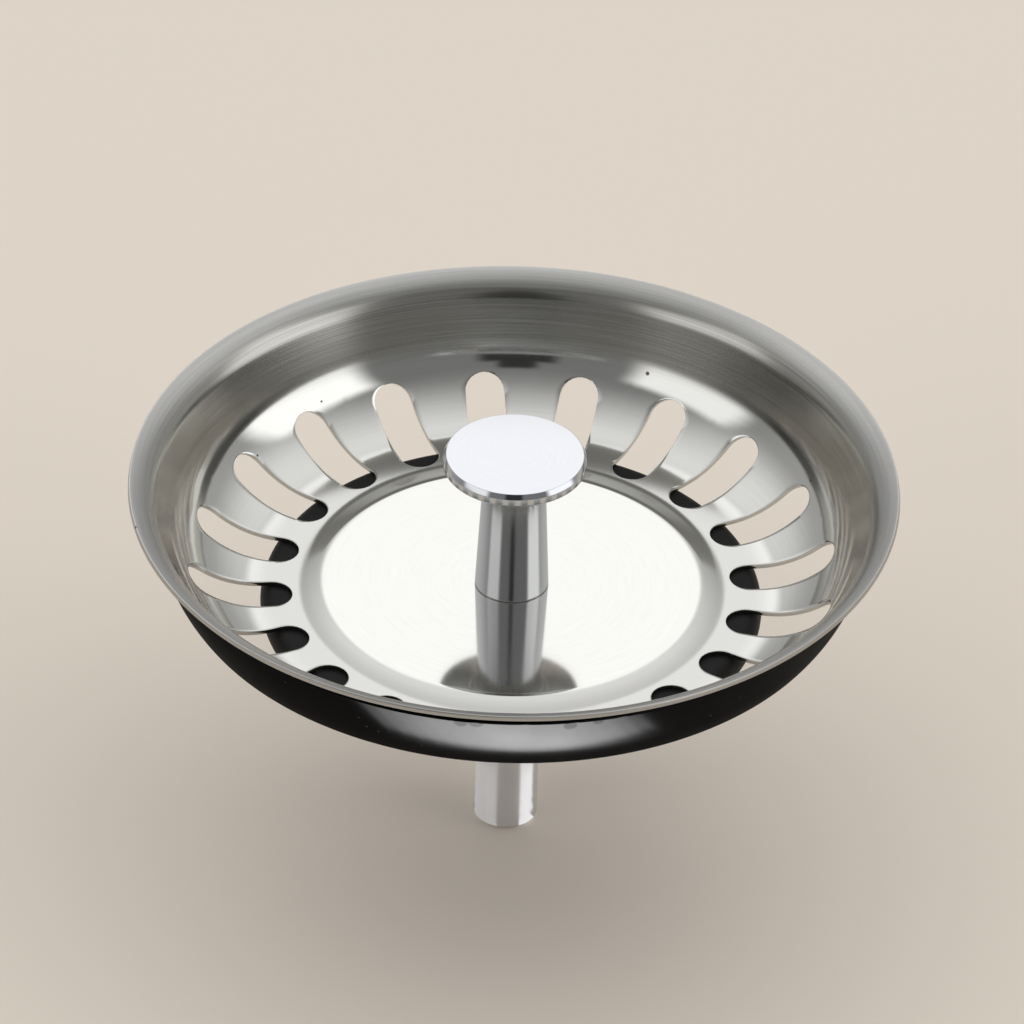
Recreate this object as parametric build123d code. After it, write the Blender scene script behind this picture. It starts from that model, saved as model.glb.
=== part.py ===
from build123d import *
from math import atan2, cos, degrees, radians, sin, tan
import os

os.makedirs("parts", exist_ok=True)

# Sink drain strainer, in millimetres, with +Z up along its axis.
# The origin is the centre of the pin's shoulder, on which the clamped stack sits.

# Pressed bowl
rim_diameter = 84.0         # across the outer edge of the lip
sheet = 0.5                 # thickness of the steel
bowl_depth = 13.8           # from the lip's edge down to the slotted ring
lip_width = 2.3             # from the lip's edge in to the wall
lip_drop = 0.6              # how far the lip falls towards the wall
lip_bend = 2.4              # sweep from the lip down into the wall
lip_edge_round = 0.15       # deburred edge of the sheet
wall_angle = 70.0           # slope of the wall, in degrees
bowl_bend = 10.5            # sweep from the slotted ring up to the wall
floor_diameter = 42.6       # raised flat floor, across its edge
floor_rise = 0.6            # how far the floor stands above the slotted ring
step_angle = 26.0           # slope of the step round the floor, in degrees
step_bend = 2.5             # radius at the top and the foot of the step

# Slots through the ring and the bend
slot_count = 20
slot_width = 4.4
slot_step_gap = 1.3         # from the foot of the step out to the inner tips
slot_reach = 53.0           # how far up the bend the outer tips lie, in degrees

# Rubber band under the lip
gasket_thickness = 0.6
gasket_lip_gap = 0.1        # left open under the lip's bend
gasket_slot_gap = 0.2       # from the slots' outer tips up to the band
gasket_round = 0.22         # rounded outer edges of the band

# Seal and its washer
seal_diameter = 55.0
seal_thickness = 3.0
seal_pad_gap = 1.0          # the seal's raised pad stops this far inside the floor's edge
washer_diameter = 22.0
washer_thickness = 1.5
washer_round = 0.3
washer_recess = 0.3         # how far the washer is let into the seal
washer_clearance = 0.1      # round the washer in its recess

# Lifting knob
knob_diameter = 15.6
knob_height = 17.1          # from the floor to the top of the head
head_thickness = 1.5
head_chamfer_width = 0.3
head_chamfer_height = 0.55
head_round = 0.25           # lower edge of the head
head_neck = 1.4             # hollow curve from the post out to the head
post_top_diameter = 6.7
post_base_diameter = 8.1
post_base_round = 0.2

# Pin and stud
pin_diameter = 7.0
pin_length = 26.5           # from the shoulder to the tip
pin_chamfer = 0.4
stud_diameter = 5.0
stud_clearance = 0.15       # round the stud in the sheet, the seal and the washer
stud_engagement = 8.0       # length of the stud inside the knob
stud_chamfer = 0.5
tapping_spare = 1.5         # blind hole left beyond the stud's end
thread_clearance = 0.05     # round the stud inside the knob

# Heights up the stack
seal_base = washer_thickness - washer_recess
ring_under = seal_base + seal_thickness
ring_top = ring_under + sheet
floor_top = ring_top + floor_rise
floor_under = floor_top - sheet
rim_top = ring_top + bowl_depth
wall_top = rim_top - lip_drop

# Radii that follow from the sizes above
floor_radius = floor_diameter / 2
lip_slope = atan2(lip_drop, lip_width)
lip_edge_radius = rim_diameter / 2 - sheet * sin(lip_slope)
step_foot_radius = floor_radius + floor_rise / tan(radians(step_angle))
wall_top_radius = lip_edge_radius - lip_width
wall_foot_radius = wall_top_radius - (wall_top - ring_top) / tan(radians(wall_angle))
stud_bore = stud_diameter / 2 + stud_clearance

# Centre of the bowl's bend in the section
bend_centre = Vector(wall_foot_radius - bowl_bend * tan(radians(wall_angle / 2)), ring_top + bowl_bend)
slot_inner_radius = step_foot_radius + slot_step_gap
slot_outer_radius = bend_centre.X + bowl_bend * sin(radians(slot_reach))

# The bowl's upper face in the section, from the centre hole out to the lip's edge
bowl_corners = [
    Vector(stud_bore, floor_top),
    Vector(floor_radius, floor_top),
    Vector(step_foot_radius, ring_top),
    Vector(wall_foot_radius, ring_top),
    Vector(wall_top_radius, wall_top),
    Vector(lip_edge_radius, rim_top),
]
bowl_bends = [step_bend, step_bend, bowl_bend, lip_bend]


def turned(section):
    """A solid turned about the strainer's axis from a section drawn as radius and height."""
    return revolve(Plane.XZ * section, Axis.Z)


def rounded(corners, radii):
    """A closed section with its own rounding at each corner."""
    return make_face(FilletPolyline(*corners, radius=radii, close=True))


def under_face(corners, bends, thickness):
    """The corners and bends of a folded sheet's lower face, one thickness below the upper."""
    runs = [(end - start).normalized() for start, end in zip(corners, corners[1:])]
    below = [Vector(run.Y, -run.X) for run in runs]
    lower = [corners[0] + below[0] * thickness]
    radii = []
    for corner, bend, first, second, turn in zip(corners[1:-1], bends, below, below[1:], runs[1:]):
        lower.append(corner + (first + second) * (thickness / (1 + first.dot(second))))
        upwards = first.dot(turn) < 0
        radii.append(bend + thickness if upwards else bend - thickness)
    lower.append(corners[-1] + below[-1] * thickness)
    return lower, radii


def slot_outline():
    """One slot as seen from above. Its tips are half round along the sheet, so the outer one,
    which climbs the bend, is foreshortened."""
    half = slot_width / 2
    side_start = slot_inner_radius + half
    side_end = bend_centre.X + bowl_bend * sin(radians(slot_reach) - half / bowl_bend)
    inner_tip = CenterArc((side_start, 0), half, 90, 180)
    outer_tip = EllipticalCenterArc((side_end, 0), slot_outer_radius - side_end, half, -90, arc_size=180)
    sides = [Line(inner_tip @ 1, outer_tip @ 0), Line(outer_tip @ 1, inner_tip @ 0)]
    return make_face([inner_tip, outer_tip, *sides])


def basket():
    lower, lower_bends = under_face(bowl_corners, bowl_bends, sheet)
    hole_edge = [0]
    lip_edge = [lip_edge_round]
    corners = bowl_corners + lower[::-1]
    radii = hole_edge + bowl_bends + lip_edge + lip_edge + lower_bends[::-1] + hole_edge
    bowl = turned(rounded(corners, radii))

    punch = extrude(slot_outline(), rim_top, dir=(0, 0, 1))
    return bowl - [Rot(0, 0, 360 / slot_count * place) * punch for place in range(slot_count)]


def rim_gasket():
    lower, lower_bends = under_face(bowl_corners, bowl_bends, sheet)
    lip_corner = lower[-2]
    lip_bend_run = lower_bends[-1] * tan((radians(wall_angle) - lip_slope) / 2)
    inner = bowl_bend + sheet
    outer = inner + gasket_thickness
    first = slot_reach + degrees(gasket_slot_gap / inner)
    up_wall = Vector(cos(radians(wall_angle)), sin(radians(wall_angle)))
    out_wall = Vector(up_wall.Y, -up_wall.X)
    top_inner = lip_corner - up_wall * (lip_bend_run + gasket_lip_gap)
    top_outer = top_inner + out_wall * gasket_thickness

    inner_bend = CenterArc(bend_centre, inner, first - 90, wall_angle - first)
    outer_bend = CenterArc(bend_centre, outer, first - 90, wall_angle - first)
    section = make_face([
        inner_bend,
        Line(inner_bend @ 1, top_inner),
        Line(top_inner, top_outer),
        Line(top_outer, outer_bend @ 1),
        outer_bend,
        Line(outer_bend @ 0, inner_bend @ 0),
    ])
    edges = [section.vertices().sort_by_distance(corner)[0] for corner in (top_outer, outer_bend @ 0)]
    return turned(fillet(edges, gasket_round))


def seal():
    pad_radius = floor_radius - seal_pad_gap
    recess_radius = washer_diameter / 2 + washer_clearance
    nose = seal_thickness / 2
    round_edge = CenterArc((seal_diameter / 2 - nose, seal_base + nose), nose, -90, 180)
    other_sides = Polyline(
        round_edge @ 1,
        (pad_radius, ring_under),
        (pad_radius, floor_under),
        (stud_bore, floor_under),
        (stud_bore, washer_thickness),
        (recess_radius, washer_thickness),
        (recess_radius, seal_base),
        round_edge @ 0,
    )
    return turned(make_face([round_edge, other_sides]))


def seal_washer():
    radius = washer_diameter / 2
    corners = [(stud_bore, 0), (radius, 0), (radius, washer_thickness), (stud_bore, washer_thickness)]
    return turned(rounded(corners, [0, washer_round, washer_round, 0]))


def knob():
    top = floor_top + knob_height
    head_under = top - head_thickness
    head_radius = knob_diameter / 2
    hole_radius = stud_diameter / 2 + thread_clearance
    hole_end = floor_top + stud_engagement + tapping_spare
    corners = [
        (hole_radius, floor_top),
        (post_base_diameter / 2, floor_top),
        (post_top_diameter / 2, head_under),
        (head_radius, head_under),
        (head_radius, top - head_chamfer_height),
        (head_radius - head_chamfer_width, top),
        (0, top),
        (0, hole_end),
        (hole_radius, hole_end),
    ]
    radii = [0, post_base_round, head_neck, head_round, 0, 0, 0, 0, 0]
    return turned(rounded(corners, radii))


def stem_pin():
    radius = pin_diameter / 2
    stud = stud_diameter / 2
    stud_end = floor_top + stud_engagement
    corners = [
        (0, -pin_length),
        (radius - pin_chamfer, -pin_length),
        (radius, pin_chamfer - pin_length),
        (radius, 0),
        (stud, 0),
        (stud, stud_end - stud_chamfer),
        (stud - stud_chamfer, stud_end),
        (0, stud_end),
    ]
    return turned(make_face(Polyline(*corners, close=True)))


for piece in (basket, rim_gasket, seal, seal_washer, knob, stem_pin):
    export_step(piece(), f"parts/{piece.__name__}.step")
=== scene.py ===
import math
import bpy
from mathutils import Matrix, Vector


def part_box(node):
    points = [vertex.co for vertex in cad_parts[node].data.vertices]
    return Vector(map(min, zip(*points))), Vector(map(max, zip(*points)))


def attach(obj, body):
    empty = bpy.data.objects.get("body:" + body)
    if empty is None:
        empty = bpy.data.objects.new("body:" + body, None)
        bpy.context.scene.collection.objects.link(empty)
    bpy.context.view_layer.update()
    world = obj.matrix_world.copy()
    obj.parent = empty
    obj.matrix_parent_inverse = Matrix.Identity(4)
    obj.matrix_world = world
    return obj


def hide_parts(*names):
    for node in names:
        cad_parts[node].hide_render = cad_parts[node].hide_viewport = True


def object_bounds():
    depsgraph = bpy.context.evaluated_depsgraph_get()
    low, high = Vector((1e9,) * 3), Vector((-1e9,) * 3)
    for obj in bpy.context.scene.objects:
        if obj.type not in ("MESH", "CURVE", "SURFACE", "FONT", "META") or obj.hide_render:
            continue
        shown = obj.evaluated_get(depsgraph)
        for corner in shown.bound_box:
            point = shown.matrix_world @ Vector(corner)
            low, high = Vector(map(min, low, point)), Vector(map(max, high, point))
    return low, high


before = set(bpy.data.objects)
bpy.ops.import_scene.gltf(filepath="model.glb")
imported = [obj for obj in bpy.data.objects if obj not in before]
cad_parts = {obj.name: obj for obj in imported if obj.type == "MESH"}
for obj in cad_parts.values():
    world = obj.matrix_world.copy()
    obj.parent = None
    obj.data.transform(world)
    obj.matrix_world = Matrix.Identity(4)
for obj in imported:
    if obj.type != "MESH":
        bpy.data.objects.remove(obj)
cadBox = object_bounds()
print("frame loaded:", ", ".join(sorted(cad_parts)))

mm = 0.001
shortestRun = 1e-6     # millimetres; a run shorter than this is left out
weld = 1e-4            # points this close are merged
seamWeld = 1e-3        # and where the bowl's three zones meet
sharpEdge = 60         # degrees; edges sharper than this are rounded
edgeSegments = 3       # faces across a rounded edge
smoothEdge = 40        # degrees; edges flatter than this are shaded smooth


# drawing: every piece is drawn at one unit to the millimetre and brought down to metres at the end

def nodeBox(node):
    low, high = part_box(node)
    return low / mm, high / mm


def editing(obj):
    bpy.ops.object.select_all(action="DESELECT")
    obj.select_set(True)
    bpy.context.view_layer.objects.active = obj
    bpy.ops.object.mode_set(mode="EDIT")


def pencilPoint(name, at):    # a small plane merged to one vertex, the start of an outline
    bpy.ops.object.select_all(action="DESELECT")
    bpy.ops.mesh.primitive_plane_add(size=1, location=at)
    obj = bpy.context.object
    obj.name = name
    obj.data.name = name
    bpy.ops.object.transform_apply(location=True)
    bpy.ops.object.mode_set(mode="EDIT")
    bpy.ops.mesh.merge(type="CENTER")
    return obj


def runTo(here, there):
    if (there - here).length > shortestRun:
        bpy.ops.mesh.extrude_region_move(TRANSFORM_OT_translate={"value": there - here})


def bendRound(centre, axis, turn, arcStep):
    steps = max(2, math.ceil(abs(turn) / math.radians(arcStep)))
    bpy.ops.mesh.spin(steps=steps, angle=-turn, center=centre, axis=axis)    # spin turns against the axis


def mergePoints(distance):
    bpy.ops.mesh.select_all(action="SELECT")
    bpy.ops.mesh.remove_doubles(threshold=distance)


def drawSection(name, corners, arcStep, closed=True):    # corners are (radius, height, bend radius)
    points = [Vector((radius, 0, height)) for radius, height, bend in corners]
    obj = pencilPoint(name, points[0])
    here = points[0]
    last = len(points) if closed else len(points) - 1
    for k in range(1, last):
        bend = corners[k][2]
        if bend:
            ahead = (points[k] - points[k - 1]).normalized()
            onward = (points[(k + 1) % len(points)] - points[k]).normalized()
            turn = ahead.angle(onward)
            side = 1 if ahead.x * onward.z - ahead.z * onward.x > 0 else -1
            start = points[k] - ahead * bend * math.tan(turn / 2)
            runTo(here, start)
            middle = start + Vector((-ahead.z, 0, ahead.x)) * bend * side
            bendRound(middle, (0, -side, 0), turn, arcStep)
            here = points[k] + onward * bend * math.tan(turn / 2)
        else:
            runTo(here, points[k])
            here = points[k]
    runTo(here, points[0] if closed else points[-1])
    mergePoints(weld)
    return obj


def turnAbout(obj, steps):    # the outline goes once round the axis
    bpy.ops.mesh.select_all(action="SELECT")
    bpy.ops.mesh.spin(steps=steps, angle=math.tau, center=(0, 0, 0), axis=(0, 0, 1))
    mergePoints(weld)
    bpy.ops.mesh.normals_make_consistent(inside=False)
    bpy.ops.object.mode_set(mode="OBJECT")
    return obj


def addModifier(obj, kind, **settings):
    bpy.context.view_layer.objects.active = obj
    made = obj.modifiers.new(kind.title(), kind)
    for name, value in settings.items():
        setattr(made, name, value)
    bpy.ops.object.modifier_apply(modifier=made.name)


def roundEdges(obj, width):
    addModifier(obj, "BEVEL", width=width, segments=edgeSegments, limit_method="ANGLE",
                angle_limit=math.radians(sharpEdge), harden_normals=True)


def finishPiece(obj, node, material):
    bpy.ops.object.select_all(action="DESELECT")
    obj.select_set(True)
    bpy.context.view_layer.objects.active = obj
    obj.scale = (mm, mm, mm)
    bpy.ops.object.transform_apply(scale=True)
    bpy.ops.object.shade_smooth_by_angle(angle=math.radians(smoothEdge))
    obj.data.materials.clear()
    obj.data.materials.append(material)
    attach(obj, "root")
    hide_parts(node)
    print("piece made:", obj.name, len(obj.data.polygons), "faces")
    return obj


# shader sockets

class Socket:    # one output in a node tree; sums and products of sockets add Math nodes
    def __init__(self, tree, link=None):
        self.tree = tree
        self.link = link

    def add(self, kind, settings, sockets, output=0):
        made = self.tree.nodes.new(kind)
        for name, value in settings.items():
            setattr(made, name, value)
        for name, value in sockets.items():
            if isinstance(value, Socket):
                self.tree.links.new(value.link, made.inputs[name])
            else:
                made.inputs[name].default_value = value
        return Socket(self.tree, made.outputs[output])

    def maths(self, operation, first, second=0.0):
        return self.add("ShaderNodeMath", {"operation": operation}, {0: first, 1: second})

    def __add__(self, other):
        return self.maths("ADD", self, other)

    def __radd__(self, other):
        return self.maths("ADD", other, self)

    def __sub__(self, other):
        return self.maths("SUBTRACT", self, other)

    def __rsub__(self, other):
        return self.maths("SUBTRACT", other, self)

    def __mul__(self, other):
        return self.maths("MULTIPLY", self, other)

    def __rmul__(self, other):
        return self.maths("MULTIPLY", other, self)

    def __truediv__(self, other):
        return self.maths("DIVIDE", self, other)

    def __pow__(self, other):
        return self.maths("POWER", self, other)

    def ease(self, low, high):    # 0 below low, 1 above high, smooth between
        return self.add("ShaderNodeMapRange", {"interpolation_type": "SMOOTHSTEP"},
                        {"Value": self, "From Min": low, "From Max": high})

    def mixColour(self, first, second):    # this socket is the share of the second colour
        return self.add("ShaderNodeMix", {"data_type": "RGBA"}, {0: self, 6: first, 7: second}, 2)

    def parts(self):
        split = self.add("ShaderNodeSeparateXYZ", {}, {0: self})
        names = split.link.node.outputs
        return [Socket(self.tree, names[axis]) for axis in "XYZ"]


def colour(red, green, blue):
    return (red, green, blue, 1)


def newMaterial(name, constants):
    material = bpy.data.materials.new(name)
    material.use_nodes = True
    tree = material.node_tree
    shader = tree.nodes["Principled BSDF"]
    for socket, value in constants.items():
        shader.inputs[socket].default_value = value
    return material, shader, Socket(tree)


def feed(shader, socket, source):
    source.tree.links.new(source.link, shader.inputs[socket])


def onObject(start):
    return start.add("ShaderNodeTexCoord", {}, {}, "Object")


def roundAbout(place):    # millimetres from the axis, height, and the direction round the axis
    x, y, z = place.parts()
    radius = (x * x + y * y) ** 0.5
    return radius / mm, z / mm, x / radius, y / radius


def streaksRound(start, east, north, across, length):    # fine marks that run round the axis
    along = start.add("ShaderNodeCombineXYZ", {}, {0: east * length, 1: north * length, 2: across})
    return start.add("ShaderNodeTexNoise", {"noise_dimensions": "3D"},
                     {"Vector": along, "Scale": 1.0, "Detail": 3.0, "Roughness": 0.6}, 0)


def cloudOver(start, place, scale, detail):    # soft unevenness, from 0 to 1
    return start.add("ShaderNodeTexNoise", {}, {"Vector": place, "Scale": scale, "Detail": detail}, 0)


spotFade = 0.6    # share of a spot's radius at which it starts to fade


def spotMask(start, place, spots):    # 1 inside small round spots, each (x, y, z, radius) in millimetres
    total = None
    for x, y, z, radius in spots:
        gap = start.add("ShaderNodeVectorMath", {"operation": "DISTANCE"},
                        {0: place, 1: (x * mm, y * mm, z * mm)}, 1)
        spot = 1 - gap.ease(radius * spotFade * mm, radius * mm)
        total = spot if total is None else start.maths("MAXIMUM", total, spot)
    return total


# pressed steel bowl

bowl = {
    "sheet": 0.5,
    "lipWidth": 2.3,
    "lipDrop": 0.6,
    "lipBend": 4.2,
    "wallAngle": 70,
    "bowlBend": 10.5,
    "floorDiameter": 41.6,
    "floorRise": 0.6,
    "stepAngle": 14,
    "stepBend": 4.5,
    "holeRadius": 2.65,
    "slotCount": 20,
    "slotWidth": 4.4,
    "slotStepGap": 0.84,
    "slotReach": 50,         # degrees up the bend
    "edgeRound": 0.12,
    "arcStep": 3,            # degrees of a bend to each face
    "seamGap": 0.1,          # from the step's bend out to the slotted zone
    "seamReach": 4,          # degrees that the slotted zone goes on past the slots
    "tipSteps": 12,          # round each slot's tip, and round each sector's arcs
    "sideSteps": 22,         # along each slot's side
    "barRings": 6,           # rings of faces between a slot and its sector's edge
    "polished": (colour(0.555, 0.553, 0.532), colour(0.575, 0.573, 0.552)),
    # the drawn wall's darker colour is painted shade for its dark reflection; the hairline streaks in it
    # are real
    "drawn": (colour(0.30, 0.297, 0.272), colour(0.41, 0.405, 0.375)),
    # the rolled lip's darker colour is painted shade for its grey reflection
    "rolledAndShadedLip": (colour(0.385, 0.382, 0.37), colour(0.435, 0.432, 0.42)),
    # the ring's darker colour is painted shade, standing in for the darker reflection of a sloped ring
    "paintedShadeRing": colour(0.445, 0.443, 0.428),
    "speck": colour(0.09, 0.075, 0.06),
    "roughness": 0.08,
    "wallRough": 0.14,       # added on the drawn wall, the lip and the ring
    "lipRough": 0.06,
    "ringRough": 0.05,
    "streakRough": 0.02,
    "wallStreakRough": 0.06,
    "wallStart": (4.2, 7.2),         # above the floor
    "lipStart": (-1.2, 0.2),         # above the wall's top
    "ringEnd": (-1, 3),              # outwards from where the bend starts
    "streaks": (5, 3.0),             # how close together and how short
    "hairlines": (7, 1.5),
    "streakEase": (0.3, 0.75),
    "hairlineEase": (0.3, 0.7),
    "specks": [                      # small dark marks: x, y, z and radius
        (18.05, 31.77, 10.06, 0.28),
        (-26.41, 22.17, 7.45, 0.17),
        (-18.70, 30.35, 8.71, 0.16),
        (26.85, 29.07, 17.46, 0.18),
        (34.14, 11.47, 9.20, 0.15),
        (-41.49, -5.56, 18.38, 0.22),
    ],
}

basketLow, basketHigh = nodeBox("basket")
rimTop = basketHigh.z
ringTop = basketLow.z + bowl["sheet"]
floorTop = ringTop + bowl["floorRise"]
wallTop = rimTop - bowl["lipDrop"]
lipSlope = math.atan2(bowl["lipDrop"], bowl["lipWidth"])
lipEdgeRadius = basketHigh.x - bowl["sheet"] * math.sin(lipSlope)
wallTopRadius = lipEdgeRadius - bowl["lipWidth"]
wallSlope = math.radians(bowl["wallAngle"])
wallFootRadius = wallTopRadius - (wallTop - ringTop) / math.tan(wallSlope)
floorRadius = bowl["floorDiameter"] / 2
stepFootRadius = floorRadius + bowl["floorRise"] / math.tan(math.radians(bowl["stepAngle"]))
bendRadius = wallFootRadius - bowl["bowlBend"] * math.tan(wallSlope / 2)    # the bend's centre
bendHeight = ringTop + bowl["bowlBend"]


def onBend(angle, radius):    # a point of the section's bend, at an angle up from the ring
    return bendRadius + radius * math.sin(angle), bendHeight - radius * math.cos(angle)


def tangentCorner(first, last, radius):    # where the tangents at two angles of the bend meet
    half = (last - first) / 2
    return onBend(first + half, radius / math.cos(half))


def drawSlotSector(name, inner, outer):    # one slot's share of the flat blank: an obround hole in a sector
    half = bowl["slotWidth"] / 2
    slotInner = stepFootRadius + bowl["slotStepGap"] + half
    slotOuter = bendRadius + bowl["bowlBend"] * math.radians(bowl["slotReach"]) - half
    sector = math.tau / bowl["slotCount"]
    up = (0, 0, 1)
    tipStep = 180 / bowl["tipSteps"]
    arcStep = math.degrees(sector) / bowl["tipSteps"]

    hole = pencilPoint(name, (slotInner, -half, 0))
    runTo(Vector((slotInner, -half, 0)), Vector((slotOuter, -half, 0)))
    bendRound((slotOuter, 0, 0), up, math.pi, tipStep)
    runTo(Vector((slotOuter, half, 0)), Vector((slotInner, half, 0)))
    bendRound((slotInner, 0, 0), up, math.pi, tipStep)
    bpy.ops.object.mode_set(mode="OBJECT")

    side = Vector((math.cos(sector / 2), math.sin(sector / 2), 0))
    otherSide = Vector((side.x, -side.y, 0))
    edge = pencilPoint(name + "Edge", otherSide * inner)
    runTo(otherSide * inner, otherSide * outer)
    bendRound((0, 0, 0), up, sector, arcStep)
    runTo(side * outer, side * inner)
    bendRound((0, 0, 0), up, -sector, arcStep)
    bpy.ops.object.mode_set(mode="OBJECT")

    hole.select_set(True)
    edge.select_set(True)
    bpy.context.view_layer.objects.active = hole
    bpy.ops.object.join()
    editing(hole)
    mergePoints(weld)
    bpy.ops.mesh.select_all(action="DESELECT")
    bpy.ops.object.mode_set(mode="OBJECT")
    for line in hole.data.edges:    # the slot's two sides and the sector's two sides
        ends = [hole.data.vertices[v].co for v in line.vertices]
        line.select = (ends[0] - ends[1]).length > bowl["slotWidth"]
    bpy.ops.object.mode_set(mode="EDIT")
    bpy.ops.mesh.subdivide(number_cuts=bowl["sideSteps"] - 1)
    bpy.ops.mesh.select_all(action="SELECT")
    bpy.ops.mesh.bridge_edge_loops(number_cuts=bowl["barRings"] - 1, interpolation="LINEAR", smoothness=0)
    bpy.ops.mesh.select_all(action="SELECT")
    bpy.ops.mesh.spin(steps=bowl["slotCount"] - 1, angle=math.tau - sector, dupli=True,
                      center=(0, 0, 0), axis=up)
    mergePoints(weld)
    bpy.ops.object.mode_set(mode="OBJECT")
    return hole


def pressBand(obj):    # the flat blank takes the die's form: past the flat ring it wraps round the bend
    for vertex in obj.data.vertices:
        blank = math.hypot(vertex.co.x, vertex.co.y)
        angle = max(0, blank - bendRadius) / bowl["bowlBend"]
        radius, height = onBend(angle, bowl["bowlBend"])
        radius = radius if angle else blank
        vertex.co = (vertex.co.x * radius / blank, vertex.co.y * radius / blank, height)


def makeBowl(material):
    stepRun = bowl["stepBend"] * math.tan(math.radians(bowl["stepAngle"] / 2))
    bandInner = stepFootRadius + stepRun + bowl["seamGap"]
    bandEnd = math.radians(bowl["slotReach"] + bowl["seamReach"])
    bandOuter = bendRadius + bowl["bowlBend"] * bandEnd
    steps = bowl["slotCount"] * bowl["tipSteps"]
    floor = turnAbout(drawSection("bowl", [
        (bowl["holeRadius"], floorTop, 0),
        (bowl["holeRadius"] + bowl["sheet"], floorTop, 0),    # keeps the hole's rounded edge off the floor
        (floorRadius / 2, floorTop, 0),
        (floorRadius, floorTop, bowl["stepBend"]),
        (stepFootRadius, ringTop, bowl["stepBend"]),
        (bandInner, ringTop, 0),
    ], bowl["arcStep"], closed=False), steps)
    wall = turnAbout(drawSection("bowlWall", [
        (*onBend(bandEnd, bowl["bowlBend"]), 0),
        (*tangentCorner(bandEnd, wallSlope, bowl["bowlBend"]), bowl["bowlBend"]),
        (wallTopRadius, wallTop, bowl["lipBend"]),
        (lipEdgeRadius, rimTop, 0),
    ], bowl["arcStep"], closed=False), steps)
    slotted = drawSlotSector("bowlBand", bandInner, bandOuter)
    pressBand(slotted)
    for part in (floor, wall, slotted):
        part.select_set(True)
    bpy.context.view_layer.objects.active = floor
    bpy.ops.object.join()
    editing(floor)
    mergePoints(seamWeld)
    bpy.ops.mesh.normals_make_consistent(inside=False)
    bpy.ops.object.mode_set(mode="OBJECT")
    up = sum(face.normal.z * face.area for face in floor.data.polygons)
    if up < 0:    # an open sheet has no outside, so its upper face is made the outer one
        editing(floor)
        bpy.ops.mesh.select_all(action="SELECT")
        bpy.ops.mesh.flip_normals()
        bpy.ops.object.mode_set(mode="OBJECT")
    addModifier(floor, "SOLIDIFY", thickness=bowl["sheet"], offset=-1, use_even_offset=True,
                use_quality_normals=True)
    roundEdges(floor, bowl["edgeRound"])
    return finishPiece(floor, "basket", material)


def pressedSteel():    # polished floor and bars, a rougher ring, a drawn wall and a rolled lip, whose colours are darker copies of the polished steel: painted shade for their darker reflections
    material, shader, start = newMaterial("pressedSteel", {"Metallic": 1.0})
    place = onObject(start)
    radius, height, east, north = roundAbout(place)
    wall = (height - floorTop).ease(*bowl["wallStart"])
    lip = (height - wallTop).ease(*bowl["lipStart"])
    ring = radius.ease(floorRadius, stepFootRadius) * (1 - (radius - bendRadius).ease(*bowl["ringEnd"]))
    close, short = bowl["streaks"]
    streaks = streaksRound(start, east, north, (radius + height) * close, short)
    close, short = bowl["hairlines"]
    hairlines = streaksRound(start, east, north, height * close, short)

    even = bowl["roughness"] + wall * bowl["wallRough"] + lip * bowl["lipRough"] + ring * bowl["ringRough"]
    uneven = (streaks - 0.5) * (bowl["streakRough"] + wall * bowl["wallStreakRough"])
    feed(shader, "Roughness", even + uneven)

    polished = streaks.ease(*bowl["streakEase"]).mixColour(*bowl["polished"])
    drawn = hairlines.ease(*bowl["hairlineEase"]).mixColour(*bowl["drawn"])
    rolledAndShadedLip = hairlines.ease(*bowl["hairlineEase"]).mixColour(*bowl["rolledAndShadedLip"])
    # the wall, ring and lip colours mixed in here are darker copies of the polished steel: painted shade
    inside = wall.mixColour(ring.mixColour(polished, bowl["paintedShadeRing"]), drawn)
    clean = lip.mixColour(inside, rolledAndShadedLip)
    feed(shader, "Base Color", spotMask(start, place, bowl["specks"]).mixColour(clean, bowl["speck"]))
    return material


# knob

knob = {
    "headThickness": 1.5,
    "chamferWidth": 0.3,
    "chamferHeight": 0.55,
    "chamferRound": 0.08,
    "headRound": 0.25,
    "neck": 1.4,
    "postTop": 6.7,
    "postBase": 8.1,
    "baseRound": 0.2,
    "holeRadius": 2.55,
    "holeDepth": 9.5,
    "arcStep": 6,
    "steps": 192,
    "top": (colour(0.49, 0.50, 0.525), colour(0.55, 0.557, 0.58)),
    # the post gets a lighter copy of the head's chrome: painted light
    "post": colour(0.63, 0.642, 0.655),
    "roughness": 0.05,
    "streakRough": 0.04,
    "postRough": 0.07,       # added on the post and the lower rim
    "topStart": (-0.15, 0.05),       # above the chamfer's foot
    "streaks": (7, 2.0),
}


def makeKnob(material):
    low, high = nodeBox("knob")
    headUnder = high.z - knob["headThickness"]
    piece = turnAbout(drawSection("knobTurned", [
        (knob["holeRadius"], low.z, 0),
        (knob["postBase"] / 2, low.z, knob["baseRound"]),
        (knob["postTop"] / 2, headUnder, knob["neck"]),
        (high.x, headUnder, knob["headRound"]),
        (high.x, high.z - knob["chamferHeight"], knob["chamferRound"]),
        (high.x - knob["chamferWidth"], high.z, knob["chamferRound"]),
        (0, high.z, 0),
        (0, low.z + knob["holeDepth"], 0),
        (knob["holeRadius"], low.z + knob["holeDepth"], 0),
    ], knob["arcStep"]), knob["steps"])
    return finishPiece(piece, "knob", material)


def knobChrome():
    chamferFoot = nodeBox("knob")[1].z - knob["chamferHeight"]
    material, shader, start = newMaterial("knobChrome", {"Metallic": 1.0})
    radius, height, east, north = roundAbout(onObject(start))
    close, short = knob["streaks"]
    streaks = streaksRound(start, east, north, (radius + height) * close, short)
    below = 1 - (height - chamferFoot).ease(*knob["topStart"])
    feed(shader, "Roughness", knob["roughness"] + streaks * knob["streakRough"] + below * knob["postRough"])
    # below the chamfer the chrome is painted lighter: painted light on the post
    feed(shader, "Base Color", below.mixColour(streaks.mixColour(*knob["top"]), knob["post"]))
    return material


# black band under the lip: a dark sheet that stands in for the dark reflection under the steel lip, painted
# shade

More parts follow.
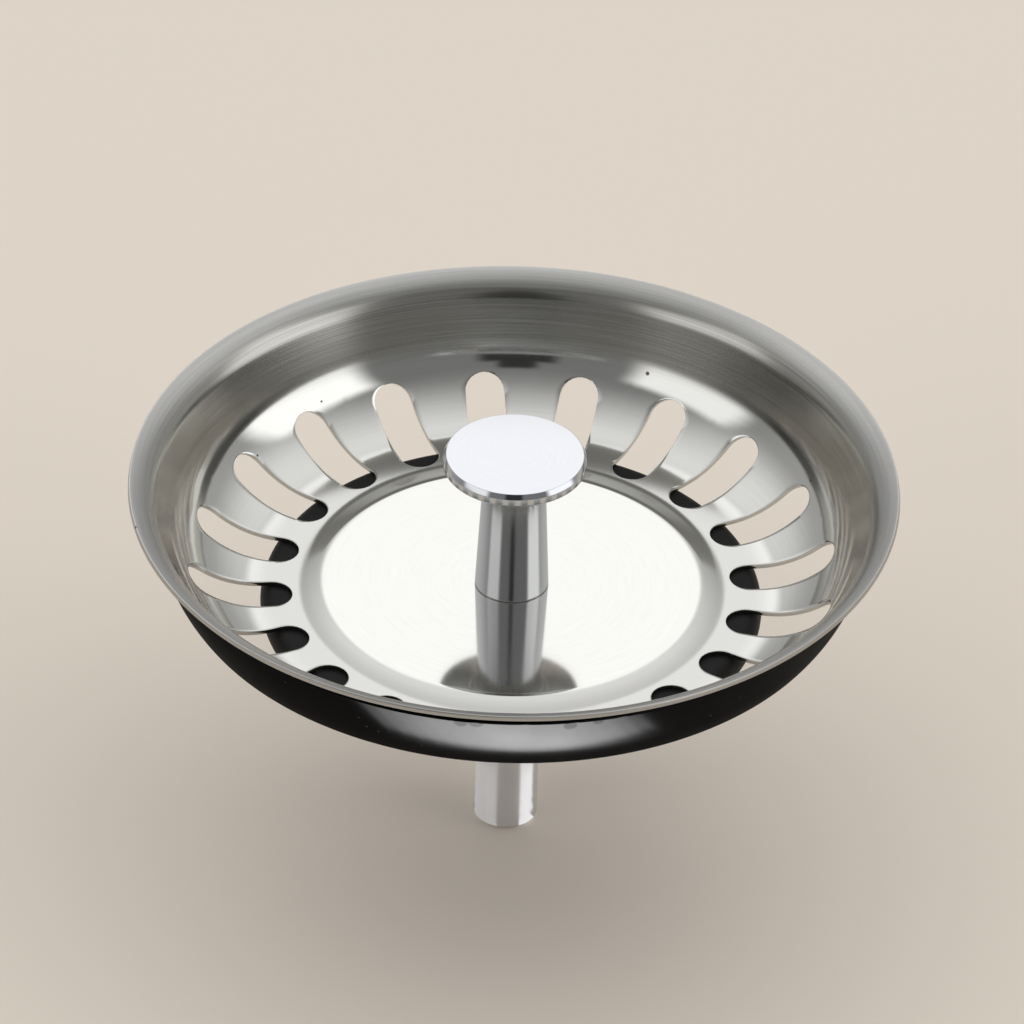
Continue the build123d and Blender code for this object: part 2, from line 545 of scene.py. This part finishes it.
band = {
    "thickness": 0.6,
    "start": 53,             # degrees up the bend
    "slotGap": 0.2,          # from there to the band's lower edge
    "lipBend": 2.4,          # the sweep that it stops under
    "lipGap": 0.1,
    "edgeRound": 0.22,
    "arcStep": 2,
    "steps": 240,
    # the band's black is painted shade for the dark reflection under the lip
    "black": (colour(0.0010, 0.0011, 0.0016), colour(0.0022, 0.0023, 0.0030)),
    "grain": colour(0.05, 0.049, 0.047),
    "cloud": (260.0, 4.0),           # scale and detail
    "roughness": (0.45, 0.2),        # least, and how much the cloud adds
    "coat": (0.085, 0.03),
    "smudgeLoss": 0.35,              # of the coat
    "smudges": [                     # dull marks on the sheen: x, y, z and radius
        (-9.12, -38.94, 15.91, 0.9),
        (-7.58, -39.32, 16.12, 1.0),
        (2.43, -39.83, 15.67, 0.9),
        (5.40, -39.67, 16.07, 0.8),
    ],
    "dust": [                        # pale grains
        (-19.46, -33.77, 13.11, 0.15),
        (-18.59, -33.73, 11.84, 0.18),
        (-17.36, -34.25, 11.52, 0.16),
        (-16.35, -34.93, 11.99, 0.14),
        (-12.90, -35.80, 10.63, 0.14),
        (-26.87, -28.87, 14.38, 0.14),
        (18.01, -34.06, 11.90, 0.16),
        (21.34, -32.57, 13.02, 0.14),
    ],
}


def makeBand(material):
    innerBend = bowl["bowlBend"] + bowl["sheet"]
    outerBend = innerBend + band["thickness"]
    first = math.radians(band["start"]) + band["slotGap"] / innerBend
    upWall = Vector((math.cos(wallSlope), math.sin(wallSlope)))
    outWall = Vector((upWall.y, -upWall.x))
    halfTurn = (wallSlope - lipSlope) / 2
    onWall = Vector((wallTopRadius, wallTop)) + outWall * bowl["sheet"]
    lipUnder = onWall - upWall * bowl["sheet"] * math.tan(halfTurn)
    bendRun = (band["lipBend"] - bowl["sheet"]) * math.tan(halfTurn)
    topInner = lipUnder - upWall * (bendRun + band["lipGap"])
    topOuter = topInner + outWall * band["thickness"]
    piece = turnAbout(drawSection("rimBand", [
        (*onBend(first, innerBend), 0),
        (*tangentCorner(first, wallSlope, innerBend), innerBend),
        (*topInner, 0),
        (*topOuter, 0),
        (*tangentCorner(first, wallSlope, outerBend), outerBend),
        (*onBend(first, outerBend), 0),
    ], band["arcStep"]), band["steps"])
    roundEdges(piece, band["edgeRound"])
    return finishPiece(piece, "rim_gasket", material)


def blackShadeBand():
    material, shader, start = newMaterial("blackShadeBand", {
        "Specular IOR Level": 0.0,
        "Coat Roughness": 0.16,
        "Coat IOR": 1.5,
    })
    place = onObject(start)
    cloud = cloudOver(start, place, *band["cloud"])
    grains = spotMask(start, place, band["dust"])
    # black base colour: painted shade for the dark reflection; the pale grains are dust
    feed(shader, "Base Color", grains.mixColour(cloud.mixColour(*band["black"]), band["grain"]))
    least, more = band["roughness"]
    feed(shader, "Roughness", least + cloud * more)
    least, more = band["coat"]
    kept = 1 - band["smudgeLoss"] * spotMask(start, place, band["smudges"])
    feed(shader, "Coat Weight", (least + cloud * more) * kept)
    return material


# seal and its washer

seal = {
    "thickness": 3.0,
    "padRadius": 20.3,
    "boreRadius": 2.65,
    "recessRadius": 11.1,
    "arcStep": 9,
    "steps": 160,
    "black": (colour(0.003, 0.003, 0.0031), colour(0.010, 0.010, 0.0098)),
    "cloud": (400.0, 5.0),           # scale and detail
    "roughness": (0.45, 0.2),        # least, and how much the cloud adds
}

washer = {
    "edgeRound": 0.3,
    "arcStep": 15,
    "steps": 128,
    "steel": (colour(0.55, 0.55, 0.54), colour(0.66, 0.66, 0.65)),
    "roughness": (0.22, 0.16),       # least, and how much the streaks add
    "streaks": (6, 2.0),
}


def makeSeal(material):
    low, high = nodeBox("seal")
    washerTop = nodeBox("seal_washer")[1].z
    nose = seal["thickness"] / 2
    ringUnder = low.z + seal["thickness"]
    piece = turnAbout(drawSection("drainSeal", [
        (seal["boreRadius"], washerTop, 0),
        (seal["recessRadius"], washerTop, 0),
        (seal["recessRadius"], low.z, 0),
        (high.x, low.z, nose),
        (high.x, ringUnder, nose),
        (seal["padRadius"], ringUnder, 0),
        (seal["padRadius"], high.z, 0),
        (seal["boreRadius"], high.z, 0),
    ], seal["arcStep"]), seal["steps"])
    return finishPiece(piece, "seal", material)


def makeWasher(material):
    low, high = nodeBox("seal_washer")
    piece = turnAbout(drawSection("sealWasher", [
        (seal["boreRadius"], low.z, 0),
        (high.x, low.z, washer["edgeRound"]),
        (high.x, high.z, washer["edgeRound"]),
        (seal["boreRadius"], high.z, 0),
    ], washer["arcStep"]), washer["steps"])
    return finishPiece(piece, "seal_washer", material)


def sealRubber():
    material, shader, start = newMaterial("sealRubber", {"Specular IOR Level": 0.15})
    cloud = cloudOver(start, onObject(start), *seal["cloud"])
    feed(shader, "Base Color", cloud.mixColour(*seal["black"]))
    least, more = seal["roughness"]
    feed(shader, "Roughness", least + cloud * more)
    return material


def washerSteel():
    material, shader, start = newMaterial("washerSteel", {"Metallic": 1.0})
    radius, height, east, north = roundAbout(onObject(start))
    close, short = washer["streaks"]
    streaks = streaksRound(start, east, north, radius * close, short)
    least, more = washer["roughness"]
    feed(shader, "Roughness", least + streaks * more)
    feed(shader, "Base Color", streaks.mixColour(*washer["steel"]))
    return material


# locating pin

pin = {
    "chamfer": 0.4,
    "edgeRound": 0.06,
    "studRadius": 2.5,
    "studChamfer": 0.5,
    "arcStep": 6,
    "steps": 128,
    "chrome": (colour(0.72, 0.74, 0.775), colour(0.78, 0.80, 0.83)),
    "roughness": (0.2, 0.1),         # least, and how much the streaks add
    "streaks": (6, 2.0),
}


def makePin(material):
    low, high = nodeBox("stem_pin")
    piece = turnAbout(drawSection("stemPin", [
        (0, low.z, 0),
        (high.x - pin["chamfer"], low.z, pin["edgeRound"]),
        (high.x, low.z + pin["chamfer"], pin["edgeRound"]),
        (high.x, 0, pin["edgeRound"]),
        (pin["studRadius"], 0, 0),
        (pin["studRadius"], high.z - pin["studChamfer"], 0),
        (pin["studRadius"] - pin["studChamfer"], high.z, 0),
        (0, high.z, 0),
    ], pin["arcStep"], closed=False), pin["steps"])
    return finishPiece(piece, "stem_pin", material)


def pinChrome():
    material, shader, start = newMaterial("pinChrome", {"Metallic": 1.0})
    radius, height, east, north = roundAbout(onObject(start))
    close, short = pin["streaks"]
    streaks = streaksRound(start, east, north, (height + radius) * close, short)
    least, more = pin["roughness"]
    feed(shader, "Roughness", least + streaks * more)
    feed(shader, "Base Color", streaks.mixColour(*pin["chrome"]))
    return material


makeBowl(pressedSteel())
makeKnob(knobChrome())
rimBand = makeBand(blackShadeBand())
makeSeal(sealRubber())
makeWasher(washerSteel())
stemPin = makePin(pinChrome())


# camera, at the photograph's angle

view = {
    "lens": 316.7,
    "distance": 978.6,     # from the middle of the rim
    "elevation": 35.97,
    "azimuth": -6.06,
    "roll": -1.6,
    "right": 0.25,         # how far the aim lies from the middle of the rim
    "up": 3.08,
    "clipEnd": 20,         # metres
}


def makeCamera():
    turn = Matrix.Rotation(math.radians(view["azimuth"]), 3, "Z")
    tilt = math.radians(view["elevation"])
    roll = math.radians(view["roll"])
    right = turn @ Vector((1, 0, 0))
    ahead = turn @ Vector((0, math.cos(tilt), -math.sin(tilt)))
    up = turn @ Vector((0, math.sin(tilt), math.cos(tilt)))
    across = right * math.cos(roll) - up * math.sin(roll)
    upright = right * math.sin(roll) + up * math.cos(roll)
    middle = Vector((0, 0, rimTop))
    eye = middle - ahead * view["distance"] - across * view["right"] - upright * view["up"]
    bpy.ops.object.camera_add(location=eye * mm)
    camera = bpy.context.object
    camera.rotation_euler = Matrix((across, upright, -ahead)).transposed().to_euler()
    camera.data.lens = view["lens"]
    camera.data.clip_end = view["clipEnd"]
    bpy.context.scene.camera = camera
    print("camera placed")


makeCamera()


# floor and light

studio = {
    "floorSize": 6.0,      # metres
    "floorColour": colour(0.90, 0.81, 0.71),
    "rearWall": 0.55,      # brightness of the tent, low down behind the object
    "roof": 1.2,
    "rearRise": (15, 50),  # degrees up, from the wall to the roof
    "frontLow": 0.27,      # the open side, where the camera stands
    "frontHigh": 0.55,
    "frontRise": (35, 80),
    "openSide": (-0.6, 0.55),    # how far back the open side starts to brighten and ends
    "standing": 0.05,      # the dark shape of the camera on its stand
    "softEdge": 5,         # degrees each way over which a softbox fades out
    "cardHeight": 0.1,     # millimetres from the floor up to the small cards
}

softboxes = {    # degrees: azimuth from straight behind, elevation, half width, half height; brightness
    "rear": (-1, 39, 11, 9, 1.7),
    "left": (-120, 23, 20, 14, 1.45),
    "right": (105, 19, 22, 20, 1.8),
}

cameraShape = {    # degrees: azimuth either way at which it starts and is whole, elevation where it ends
    "body": ((164, 170), (30, 34)),
    "head": ((171, 175), (38, 43)),
}


def makeFloor():
    bpy.ops.object.select_all(action="DESELECT")
    bpy.ops.mesh.primitive_plane_add(size=studio["floorSize"], location=(0, 0, cadBox[0].z))
    floor = bpy.context.object
    floor.name = "studioFloor"
    bpy.ops.object.transform_apply(location=True)
    material = newMaterial("paleFloor", {
        "Base Color": studio["floorColour"],
        "Roughness": 0.8,
        "Specular IOR Level": 0.1,
    })[0]
    floor.data.materials.append(material)


def makeWorld():    # a pale tent with three softboxes, open and dark on the camera's side
    world = bpy.data.worlds.new("studioTent")
    bpy.context.scene.world = world
    world.use_nodes = True
    tree = world.node_tree
    start = Socket(tree)
    way = start.add("ShaderNodeTexCoord", {}, {}, "Generated")
    x, y, z = start.add("ShaderNodeVectorRotate", {"rotation_type": "Z_AXIS"},
                        {"Vector": way, "Angle": -math.radians(view["azimuth"])}).parts()
    degrees = 180 / math.pi
    up = start.maths("ARCSINE", z) * degrees
    azimuth = start.maths("ARCTAN2", x, y) * degrees
    fromRear = start.maths("ABSOLUTE", azimuth)
    softEdge = studio["softEdge"]

    rear = studio["rearWall"] + up.ease(*studio["rearRise"]) * (studio["roof"] - studio["rearWall"])
    front = studio["frontLow"] + up.ease(*studio["frontRise"]) * (studio["frontHigh"] - studio["frontLow"])
    level = front + y.ease(*studio["openSide"]) * (rear - front)
    for side, height, halfWidth, halfHeight, brightness in softboxes.values():
        across = start.maths("ABSOLUTE", azimuth - side)
        above = start.maths("ABSOLUTE", up - height)
        wide = 1 - across.ease(halfWidth - softEdge, halfWidth + softEdge)
        tall = 1 - above.ease(halfHeight - softEdge, halfHeight + softEdge)
        level = level + wide * tall * (brightness - level)
    shapes = [fromRear.ease(*sides) * (1 - up.ease(*top)) for sides, top in cameraShape.values()]
    level = level + start.maths("MAXIMUM", *shapes) * (studio["standing"] - level)
    feed(tree.nodes["Background"], "Color", level)


frontCards = {    # small cards on the floor in front, that only the band mirrors
    "across": 4.2,
    "depth": 24,
    "gap": 46.5,           # from the axis to the nearest card
    "brightness": 64,
    "turns": range(140, 209, 4),    # degrees from straight behind
    "fade": 38,            # degrees from the middle card to where the cards would be dark
    "taper": 5,            # how much further out the cards at the sides lie
}

pinStrips = {    # strips on the floor that only the pin mirrors, each at one height of it
    "height": 9.6,
    "steps": 6,
    "faces": [             # degrees round the pin from the camera's side, then brightness
        (27, 57, 0.72),
        (-46, -16, 0.26),
        (-76, -46, 0.26),
    ],
}


def addCard(name, middle, along, size, brightness, lit):    # a lamp on the floor that shines up
    place = (middle.x * mm, middle.y * mm, cadBox[0].z + studio["cardHeight"] * mm)
    bpy.ops.object.light_add(type="AREA", location=place)
    lamp = bpy.context.object
    lamp.name = name
    lamp.data.shape = "RECTANGLE"
    lamp.data.size = size[0] * mm
    lamp.data.size_y = size[1] * mm
    lamp.data.energy = brightness * math.pi * lamp.data.size * lamp.data.size_y
    lamp.rotation_euler = (math.pi, 0, along)
    lamp.visible_camera = False
    lamp.visible_diffuse = False
    lamp.light_linking.receiver_collection = lit


def litOnly(piece):
    lit = bpy.data.collections.new(piece.name + "Lit")
    lit.objects.link(piece)
    return lit


def lightBand(piece):
    lit = litOnly(piece)
    turns = frontCards["turns"]
    size = (frontCards["across"], frontCards["depth"])
    for turn in turns:
        angle = math.radians(view["azimuth"] - turn)
        share = ((turn - sum(turns) / len(turns)) / frontCards["fade"]) ** 2
        away = frontCards["gap"] + frontCards["taper"] * share + frontCards["depth"] / 2
        middle = Matrix.Rotation(angle, 3, "Z") @ Vector((0, away, 0))
        addCard("frontCard", middle, angle, size, frontCards["brightness"] * (1 - share), lit)


def mirroredSpot(face, height):    # the spot on the floor that the camera sees in the pin
    radius = nodeBox("stem_pin")[1].x
    reach = height / math.tan(math.radians(view["elevation"]))
    onPin = Vector((math.sin(face), -math.cos(face), 0)) * radius
    fromPin = Vector((math.sin(2 * face), -math.cos(2 * face), 0)) * reach
    return Matrix.Rotation(math.radians(view["azimuth"]), 3, "Z") @ (onPin + fromPin)


def lightPin(piece):
    lit = litOnly(piece)
    rise = pinStrips["height"] / pinStrips["steps"]
    for start, end, brightness in pinStrips["faces"]:
        start = math.radians(start)
        end = math.radians(end)
        for step in range(pinStrips["steps"]):
            low = step * rise
            high = low + rise
            left = (mirroredSpot(start, low) + mirroredSpot(start, high)) / 2
            right = (mirroredSpot(end, low) + mirroredSpot(end, high)) / 2
            near = (mirroredSpot(start, low) + mirroredSpot(end, low)) / 2
            far = (mirroredSpot(start, high) + mirroredSpot(end, high)) / 2
            across = right - left
            size = (across.length, (far - near).length)
            addCard("pinStrip", (left + right) / 2, math.atan2(across.y, across.x), size, brightness, lit)


makeFloor()
makeWorld()
lightBand(rimBand)
lightPin(stemPin)
print("studio lit")

bpy.context.scene.view_settings.view_transform = "Standard"
